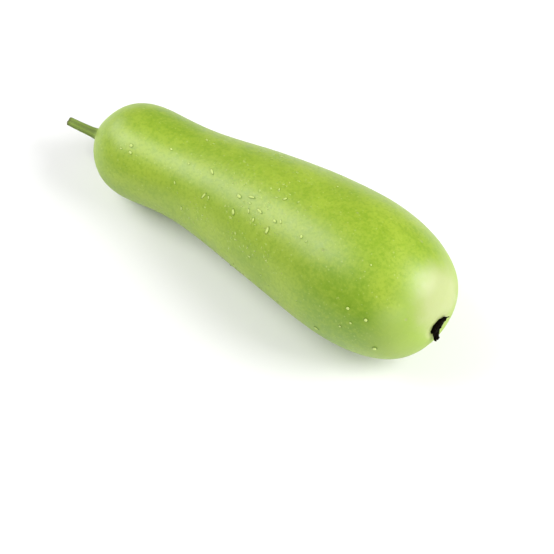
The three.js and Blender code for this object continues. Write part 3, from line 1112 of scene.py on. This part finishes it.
def drop_form(values):
    """The tree that lays drops on the skin: the given ones, and a fine spray between them."""
    bench = FormBench("water_drop_form", values)
    put = bench.input
    skin = bench.add(
        "GeometryNodeObjectInfo", {"transform_space": "ORIGINAL"}, {"Object": put("Skin")},
        out="Geometry",
    )

    def nearest(value):
        return bench.add(
            "GeometryNodeSampleNearestSurface", {"data_type": "FLOAT_VECTOR"},
            {"Mesh": skin, "Value": value, "Sample Position": bench.position()},
        )

    placed = bench.add("GeometryNodeMeshToPoints", None, {"Mesh": put("Geometry")})
    placed = bench.store(placed, "outwards", nearest(bench.normal()))
    placed = bench.move(placed, position=nearest(bench.position()))
    placed = bench.store(placed, "strength", 1.0, "FLOAT")

    away = bench.length(bench.vector("SUBTRACT", bench.position(), put("Wet Middle")))
    wet = bench.ramp(away / put("Wet Reach"), 1.0, 0.25)
    wet = wet * bench.ramp(bench.noise(bench.position(), 60.0, 2.0), 0.42, 0.62)
    sockets = {
        "Mesh": skin, "Density Max": put("Spray"), "Distance Min": 2.0 * MM,
        "Density Factor": wet, "Seed": put("Seed"),
    }
    spray = bench.add(
        "GeometryNodeDistributePointsOnFaces", {"distribute_method": "POISSON"}, sockets
    )
    spray = bench.store(spray, "outwards", bench.other(spray, "Normal"))

    def chance(low, high, seed, kind="FLOAT"):
        first = 2 if kind == "FLOAT" else 0
        return bench.add(
            "FunctionNodeRandomValue", {"data_type": kind},
            {first: low, first + 1: high, "Seed": seed}, out=1 if kind == "FLOAT" else 0,
        )

    wide = put("Smallest") + (put("Largest") - put("Smallest")) * chance(0.0, 1.0, 2) ** 2
    long = wide * chance(1.0, 1.9, 3)
    spray = bench.store(spray, "extent", bench.join(long, wide, wide))
    heading = chance((-1, -1, -1), (1, 1, 1), 4, "FLOAT_VECTOR")
    spray = bench.store(spray, "along", heading)
    spray = bench.store(spray, "strength", chance(0.3, 0.7, 5), "FLOAT")

    def laid(points, segments, rings):
        """A flattened bead on each point, its lower side shallow and sunk in the skin."""
        bead = bench.add(
            "GeometryNodeMeshUVSphere", None,
            {"Segments": segments, "Rings": rings, "Radius": 0.5},
        )
        x, y, z = bench.split(bench.position())
        bead = bench.store(bead, "dome", z * 2, "FLOAT")
        shallow = z.math("MAXIMUM", 0.0) * 0.72 + z.math("MINIMUM", 0.0) * 0.3
        bead = bench.move(bead, position=bench.join(x, y, shallow))
        turned = bench.add(
            "FunctionNodeAxesToRotation", {"primary_axis": "Z", "secondary_axis": "X"},
            [bench.stored("outwards"), bench.stored("along")],
        )
        sockets = {
            "Points": points, "Instance": bead, "Rotation": turned,
            "Scale": bench.stored("extent"),
        }
        return bench.add("GeometryNodeInstanceOnPoints", None, sockets)

    drops = bench.add("GeometryNodeJoinGeometry", None, [laid(placed, 24, 14)])
    bench.tree.links.new(laid(spray, 10, 7).socket, drops.socket.node.inputs[0])
    bench.close(drops, put("Material"))
    return bench


def drop_points():
    """A mesh of one loose point for each placed drop, with its size and its heading."""
    mesh = bpy.data.meshes.new("drop_points")
    places = [Vector(drop[:3]) * MM for drop in DROPS]
    mesh.from_pydata(places, [], [])
    extent = mesh.attributes.new("extent", "FLOAT_VECTOR", "POINT")
    along = mesh.attributes.new("along", "FLOAT_VECTOR", "POINT")
    spine = Vector((20, 0, 40)) * MM
    for i, (x, y, z, length, width, turned) in enumerate(DROPS):
        outwards = Vector((0, y * MM - spine.y, z * MM - spine.z)).normalized()
        across = outwards.cross(Vector((1, 0, 0)))
        angle = math.radians(turned)
        along.data[i].vector = Vector((1, 0, 0)) * math.cos(angle) + across * math.sin(angle)
        extent.data[i].vector = (length * MM, width * MM, width * MM)
    return mesh


def water_material(sizes):
    """Drops of water: a clear middle with a painted highlight of the light it gathers, and a darker
    rim of painted shade.
    """
    bench = MaterialBench("water")
    dome = bench.attribute("dome")
    veil = bench.noise(bench.object_place(), 900.0, 1.0)
    strength = bench.attribute("strength")
    # Painted shade on the rim and a painted highlight in the middle, both in the base colour
    rim = bench.ramp(dome + (veil - 0.5) * 0.25, 0.80, 0.52)
    base = bench.mix(rim * strength, sizes.bright, sizes.rim)
    clear = (0.66 - rim * 0.36) * strength
    return bench.finish(
        {"Base Color": base, "Alpha": clear, "Roughness": 0.2 + veil * 0.1},
        {"IOR": 1.33, "Specular IOR Level": 0.15},
    )


class GOURD_OT_water_drops(bpy.types.Operator):
    """Lays drops of water on the skin"""

    bl_idname = "gourd.make_water_drops"
    bl_label = "Water Drops"

    def execute(self, context):
        settings = context.scene.gourd
        skin = bpy.data.objects.get("gourd_skin")
        if skin is None:
            raise RuntimeError("the skin has to be made before the drops on it")
        values = {
            "Skin": skin, "Spray": settings.drops.spray,
            "Smallest": settings.drops.smallest, "Largest": settings.drops.largest,
            "Wet Middle": tuple(Vector((8, -24, 76)) * MM), "Wet Reach": 78 * MM,
            "Seed": settings.drops.seed, "Material": water_material(settings.drops),
        }
        drops = grow("water_drops", drop_points(), drop_form(values))
        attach(drops, BODY)
        return {"FINISHED"}


# Stage

AIM = Vector((0.038694, -0.026240, 0.027204))  # the point in the middle of the picture
AZIMUTH = math.radians(37.243)  # 0 looks along +Y
ELEVATION = math.radians(59.313)
DISTANCE = 1.2
LENS = 113.72  # in mm, for this width of the sensor
SENSOR = 36


def direction(azimuth, elevation):
    """The direction from the gourd towards a place at this azimuth and elevation."""
    flat = math.cos(elevation)
    return Vector((math.sin(azimuth) * flat, -math.cos(azimuth) * flat, math.sin(elevation)))


def soft_light(name, azimuth, elevation, distance, size, power):
    """An area light that faces the middle of the gourd, with its angles in degrees."""
    light = bpy.data.lights.new(name, "AREA")
    light.shape = "RECTANGLE"
    light.size, light.size_y = size
    light.energy = power
    made = bpy.data.objects.new(name, light)
    towards = direction(math.radians(azimuth), math.radians(elevation))
    made.location = Vector((0, 0, 0.04)) + towards * distance
    made.rotation_euler = towards.to_track_quat("Z", "Y").to_euler()
    bpy.context.scene.collection.objects.link(made)


class GOURD_OT_stage(bpy.types.Operator):
    """Sets up the floor, the soft light and the camera"""

    bl_idname = "gourd.make_stage"
    bl_label = "Stage"

    def execute(self, context):
        scene = context.scene
        s = scene.gourd.stage
        bench = MaterialBench("studio_floor")
        cloud = bench.noise(bench.object_place(), 3.0, 2.0)
        shade = bench.mix(cloud, [c * 0.99 for c in s.floor], s.floor)
        material = bench.finish({"Base Color": shade}, {"Roughness": 0.9})
        mesh = bpy.data.meshes.new("studio_floor")
        sides, reach = 96, 0.8
        turns = ring_angles(sides)
        rim = [(reach * math.cos(turn), reach * math.sin(turn), 0) for turn in turns]
        mesh.from_pydata(rim, [], [tuple(range(sides))])
        mesh.materials.append(material)
        floor = place_mesh("studio_floor", mesh)

        world = bpy.data.worlds.new("studio")
        world.use_nodes = True
        sky = Bench(world.node_tree)
        from_where = sky.add("ShaderNodeTexCoord", out="Generated")
        towards_near = sky.dot(from_where, tuple(direction(math.radians(27), math.radians(55))))
        strength = s.sky[0] + (s.sky[1] - s.sky[0]) * sky.ramp(towards_near, -0.7, 0.8)
        # Beyond the edge of the floor the camera sees plain white
        seen = sky.add("ShaderNodeLightPath", out="Is Camera Ray")
        strength = strength + seen * (1 - strength)
        background = world.node_tree.nodes["Background"]
        background.inputs["Color"].default_value = (1, 1, 1, 1)
        world.node_tree.links.new(strength.socket, background.inputs["Strength"])
        scene.world = world

        soft_light("key", -62, 49, 1.3, (0.8, 0.8), s.key)
        soft_light("side", -92, 20, 1.5, (0.9, 0.6), s.side)
        soft_light("fill", 52, 18, 1.4, (0.9, 0.7), s.fill)
        soft_light("back", 116, 36, 1.2, (0.7, 0.85), s.back)

        camera = bpy.data.cameras.new("camera")
        camera.lens = LENS
        camera.sensor_width = SENSOR
        camera.clip_end = 20
        eye = bpy.data.objects.new("camera", camera)
        towards = direction(AZIMUTH, ELEVATION)
        eye.location = AIM + towards * DISTANCE
        eye.rotation_euler = towards.to_track_quat("Z", "Y").to_euler()
        scene.collection.objects.link(eye)
        scene.camera = eye
        scene.view_settings.view_transform = "Standard"
        return {"FINISHED"}


# Panel and registration

class GOURD_PT_panel(bpy.types.Panel):
    """Lists the steps that build the gourd, and its sizes and colours"""

    bl_label = "Bottle Gourd"
    bl_idname = "GOURD_PT_panel"
    bl_space_type = "VIEW_3D"
    bl_region_type = "UI"
    bl_category = "Gourd"

    def draw(self, context):
        settings = context.scene.gourd
        for label, group, steps in PANEL_ROWS:
            box = self.layout.box()
            box.label(text=label)
            owner = getattr(settings, group)
            for name in owner.__annotations__:
                box.prop(owner, name)
            for step in steps:
                box.operator(step)


PANEL_ROWS = (
    ("Fruit", "fruit", ("gourd.make_skin",)),
    ("Skin colours", "skin", ()),
    ("Stem", "stem", ("gourd.make_stem", "gourd.make_stem_hairs")),
    ("Dried flower", "flower", ("gourd.make_dried_flower",)),
    ("Drops of water", "drops", ("gourd.make_water_drops",)),
    ("Stage", "stage", ("gourd.make_stage",)),
)

CLASSES = (
    FruitSizes, SkinColours, StemSizes, FlowerSizes, DropSizes, StageSettings, GourdSettings,
    GOURD_OT_skin, GOURD_OT_stem, GOURD_OT_stem_hairs, GOURD_OT_dried_flower,
    GOURD_OT_water_drops, GOURD_OT_stage, GOURD_PT_panel,
)


def register():
    for each in CLASSES:
        bpy.utils.register_class(each)
    bpy.types.Scene.gourd = PointerProperty(type=GourdSettings)


def unregister():
    del bpy.types.Scene.gourd
    for each in reversed(CLASSES):
        bpy.utils.unregister_class(each)


def main():
    register()
    bpy.ops.gourd.make_skin()
    bpy.ops.gourd.make_stem()
    bpy.ops.gourd.make_stem_hairs()
    bpy.ops.gourd.make_dried_flower()
    bpy.ops.gourd.make_water_drops()
    bpy.ops.gourd.make_stage()


if __name__ == "__main__":
    main()
